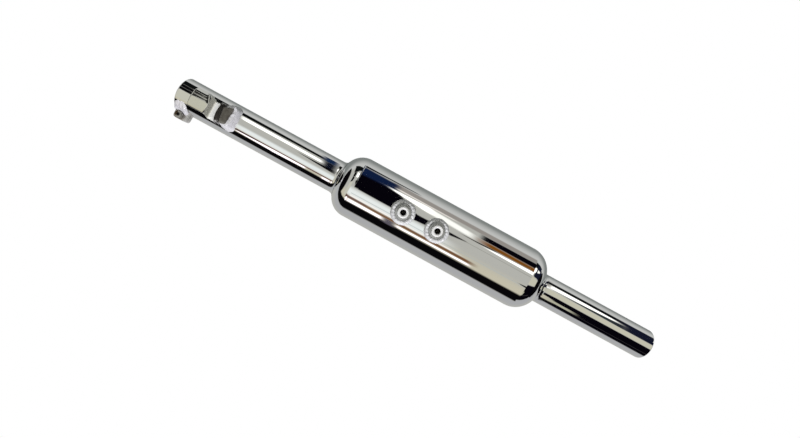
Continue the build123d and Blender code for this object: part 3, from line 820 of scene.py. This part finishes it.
def raised(name, crown, foot, top, ease, shape, lumps):
    """Lump welded on the tube: rings from the middle of its crown out, down its side and back
    under it. shape bends the side out, and lumps is how rough it is."""
    centre = sum(crown, Vector((0, 0))) / len(crown)
    levels = [(scale, top - sag) for scale, sag in ((0.03, 0.1), (0.35, 0.05), (0.7, 0))]
    levels += [(1 - inset * ease / 8, top - drop * ease)
               for inset, drop in ((1, 0), (0.3, 0.3), (0, 1))]
    rows = [[(*centre.lerp(point, scale), z) for point in crown] for scale, z in levels]
    for t in steps(0.12, 1, 8):
        row = []
        for inner, outer in zip(crown, foot):
            plan = inner.lerp(outer, t ** shape)
            ground = on_tube(outer.y)
            row.append((*plan, ground + (top - ease - ground) * (1 - t)))
        rows.append(row)
    for scale in (0.7, 0.35, 0.03):
        under = [centre.lerp(point, scale) for point in foot]
        rows.append([(*plan, on_tube(plan.y)) for plan in under])
    push = Vector((0.3, 0.5, 1))
    rows = [[Vector(point) + push * rough(point, lumps, 2.4) for point in row] for row in rows]
    return skin(name, rows)


def shares(seat, pairs):
    """Plan points given as shares of a CAD node's half size from its middle."""
    return [(seat.middle.x + seat.size.x / 2 * along, seat.middle.y + seat.size.y / 2 * across)
            for along, across in pairs]


def slot_block():
    """Forged block with eased edges, facing the strap's end wall."""
    crown = shares(block, [(-0.88, 0.60), (0.74, 0.86), (0.45, -0.78), (-0.52, -0.88)])
    foot = shares(block, [(-1.0, 0.78), (0.98, 1.0), (0.8, -0.96), (-0.9, -1.0)])
    piece = raised("slot_block", eased(crown, 1.6, 4), eased(foot, 1.8, 4), block.high.z, 0.7, 1.0,
                   0.12)
    stand_for(piece, "bracket_block")


def slot_bank():
    """Weld bank behind the block and down its sides, heaped highest on the +Y side."""
    seat = Span("bracket_block_weld")
    crown = shares(seat, [(-0.80, 0.55), (-0.35, 0.84), (0.12, 0.86), (0.44, 0.70), (0.42, 0.0),
                          (0.30, -0.66), (-0.10, -0.74), (-0.62, -0.70)])
    foot = shares(seat, [(-0.94, 0.60), (-0.52, 0.96), (0.10, 1.0), (0.58, 0.86), (0.84, 0.10),
                         (0.78, -0.74), (0.10, -0.98), (-0.80, -0.84)])
    piece = raised("slot_weld_bank", eased(crown, 1.3, 4), eased(foot, 2.2, 4), seat.high.z - 0.3,
                   1.3, 0.75, 0.55)
    stand_for(piece, "bracket_block_weld")


# ---------------------------------------------------------------- inlet clamp
def clamp_ear(name, node, side):
    """Ear with rounded corners and edges, bored for the screw."""
    hole, ease = screw.size.x / 2 - 1.42, 0.9      # the bore clears the M4 shank
    root = -INLET_RADIUS + 0.9
    corners = [(ear.low.x, root), (ear.low.x, ear.low.y), (ear.high.x, ear.low.y),
               (ear.high.x, root)]
    outline = eased(corners, [0.3, 3.0, 3.0, 0.3], 12)
    centre = Vector((screw.middle.x, screw.middle.y))
    top = ear.high.z

    def under(y):
        """Height of the ear's inner face: SLIT_HALF at the tube, and less past the bore."""
        lean = max(0, min(1, (screw.middle.y + 2.6 - y) / 2))
        return SLIT_HALF - lean * (SLIT_HALF - ear.low.z)

    # each ring's inset from the outline, its level, and how far it is below that
    bore_rings = 2
    rings = [(0, "under", 0), (0, "top", 0), (ease, "top", 0), (0.35 * ease, "top", 0.12 * ease),
             (0.05 * ease, "top", 0.5 * ease), (0, "top", ease), (0, "under", -0.5),
             (0.15, "under", -0.15), (0.5, "under", 0)]
    rows = []
    for index, (inset, level, drop) in enumerate(rings):
        row = []
        for point in outline:
            away = point - centre
            if index < bore_rings:
                plan = centre + away.normalized() * hole
            else:
                plan = point - away.normalized() * inset
            z = (top if level == "top" else under(plan.y)) - drop
            bump = rough((plan.x, plan.y, z), 0.10, 1.9) if index > bore_rings else 0
            row.append((plan.x, plan.y, side * (z + bump)))
        rows.append(row)
    stand_for(skin(name, rows, looped=True), node)


def ear_bead(name, node, side):
    """Domed weld from the ear up the tube, kept clear of the screw's head or of the nut."""
    seat = Span("clamp_ear_weld_upper")
    beside = washer if side > 0 else Span("clamp_nut")
    room = beside.size.x / 2 + 0.35
    head_top = screw.high.z + 0.4
    low, reach_up, shorter = radians(14), 68, 14       # angles up the tube from its -Y side
    length = seat.size.x * 0.94
    rows = []
    for s in steps(0, 1, 30):
        x = seat.low.x + length * s
        bulge = sqrt(max(0.0, 1 - (2 * s - 1) ** 8))
        reach = room ** 2 - (x - screw.middle.x) ** 2
        limit = screw.middle.y + sqrt(reach) if reach > 0 else -INLET_RADIUS - 1.9
        high = radians(reach_up - shorter * (2 * s - 1) ** 2)
        head = Vector((-SEAT_RADIUS * cos(high), SEAT_RADIUS * sin(high)))
        foot = Vector((-INLET_RADIUS - 1.6 * bulge, seat.low.z - 0.3))
        middle = (head + foot) / 2
        pull = middle.normalized() * (INLET_RADIUS + 4.6 * bulge)
        row = []
        for t in steps(0, 1, 14):
            y, z = head * (1 - t) ** 2 + pull * 2 * t * (1 - t) + foot * t ** 2
            swell = rough((x, y, z), 0.45, 2.3) * bulge
            y, z = y - swell, z + swell
            if z < head_top:
                y = max(y, limit)
            row.append((x, y, side * z))
        for angle in steps(low, high, 8)[:-1]:
            row.append((x, -SEAT_RADIUS * cos(angle), side * SEAT_RADIUS * sin(angle)))
        rows.append(row)
    stand_for(skin(name, rows), node)


def hexed(flats, angle):
    """Distance from a hexagon's middle to its side, with a corner at angle 0."""
    return flats / 2 / cos((angle % (pi / 3)) - pi / 6)


def cap_screw():
    """M4 socket head cap screw with a knurled head and a cut thread."""
    top, seat, low = screw.high.z, washer.high.z, screw.low.z
    head, shank, pitch = screw.size.x / 2, 2.0, 0.7
    key, key_depth = 3.0, 2.2
    knurls, knurl_depth, thread_depth = 36, 0.10, 0.4
    plain = ear.high.z - 1
    turns = steps(plain - 0.4, low + 0.9, 110)

    def profile(angle):
        grip = head - knurl_depth * abs(sin(knurls / 2 * angle))
        socket_wall = hexed(key, angle)
        points = [(low, 0.0), (low, shank - 0.6), (low + 0.5, shank - 0.15)]
        points += [(z, shank - thread_depth * (1 - ridge(z, angle, pitch))) for z in turns[::-1]]
        points += [(plain, shank), (seat, shank), (seat, head - 0.15), (seat + 0.15, grip),
                   (top - 0.6, grip), (top - 0.45, head - 0.08), (top - 0.1, head - 0.3),
                   (top, head - 0.6), (top, socket_wall + 0.15), (top - 0.12, socket_wall),
                   (top - key_depth, socket_wall), (top - key_depth - 0.5, 0.0)]
        return points

    # the key socket takes the painted shade
    def in_key(middle):
        away = off_post(middle, screw.middle.x, screw.middle.y)
        return seat + 0.2 < middle.z < top - 0.1 and away < key / 2 + 0.2

    place = about_post(screw.middle.x, screw.middle.y)
    stand_for(turned("cap_screw", profile, 144, place), "clamp_screw", (HOLE_SHADE, in_key))


def spring_washer():
    """Split ring, flattened by the screw, with its cut on the -Y side."""
    half_gap = radians(9)
    outer, bore = washer.size.x / 2, 2.12
    low, high = washer.low.z, washer.high.z
    section = eased([(low, bore), (low, outer), (high, outer), (high, bore)], 0.12)
    rows = []
    for angle in steps(-pi / 2 + half_gap, 3 * pi / 2 - half_gap, 72):
        rows.append([(washer.middle.x + radius * cos(angle), washer.middle.y + radius * sin(angle), z)
                     for z, radius in section])
    stand_for(skin("spring_washer", rows), "clamp_lock_washer")


def hex_nut():
    """M4 nut with chamfered corners and a cut thread."""
    seat = Span("clamp_nut")
    low, high, flats = seat.low.z, seat.high.z, seat.size.y
    bore, mouth, lead = 2.05, 2.45, 2.1            # radii of the hole, its chamfer and its first turn
    chamfer, pitch, thread_depth = 0.3, 0.7, 0.3
    bevel_slope, face_radius = 0.58, flats / 2 + 0.1
    turns = steps(low + 0.35, high - 0.35, 24)

    def profile(angle):
        side = hexed(flats, angle)
        bevel = max(0.0, side - face_radius) * bevel_slope + 0.02
        outside = [(low, min(side, face_radius)), (low + bevel, side), (high - bevel, side),
                   (high, min(side, face_radius))]
        inside = [(high, mouth), (high - chamfer, lead)]
        inside += [(z, bore + thread_depth * (1 - ridge(z, angle, pitch))) for z in turns[::-1]]
        return outside + inside + [(low + chamfer, lead), (low, mouth)]

    place = about_post(seat.middle.x, seat.middle.y)
    stand_for(turned("hex_nut", profile, 120, place), "clamp_nut")


# ---------------------------------------------------------------- building
def dress_frame():
    """Gives every CAD node its own finish, the ones hidden inside the body too."""
    for node, piece in frame["nodes"].items():
        piece.data.materials.clear()
        piece.data.materials.append(FINISH[SLOT_OF[node]])


def set_camera():
    """Looks straight down on the side with the bosses, turned so that the tail is lower right."""
    camera = bpy.data.objects.new("camera", bpy.data.cameras.new("camera"))
    scene.collection.objects.link(camera)
    camera.location = (0.2219, -0.0048, 0.3796)
    camera.rotation_euler = (0, 0, radians(28.65))
    camera.data.sensor_width = 36.0
    camera.data.lens = 17.97
    camera.data.shift_x = 0.0144
    camera.data.shift_y = -0.0103
    camera.data.clip_start = 0.01
    scene.camera = camera
    scene.view_settings.view_transform = "Standard"


paint_studio()
lay_floor()
hang_softbox()
dress_frame()
inlet_tube()
tail_tube()
pipe_weld("inlet_weld", INLET_RADIUS, -1)
pipe_weld("tail_weld", CORE_RADIUS, 1)
for boss_end, first_angle in (("front", 0.6), ("rear", 2.1)):
    hanger_boss(boss_end)
    boss_bead(boss_end, first_angle)
strap()
slot_block()
slot_bank()
for level, side in (("upper", 1), ("lower", -1)):
    clamp_ear("ear_" + level, "clamp_ear_" + level, side)
    ear_bead("ear_bead_" + level, "clamp_ear_weld_" + level, side)
cap_screw()
spring_washer()
hex_nut()
set_camera()
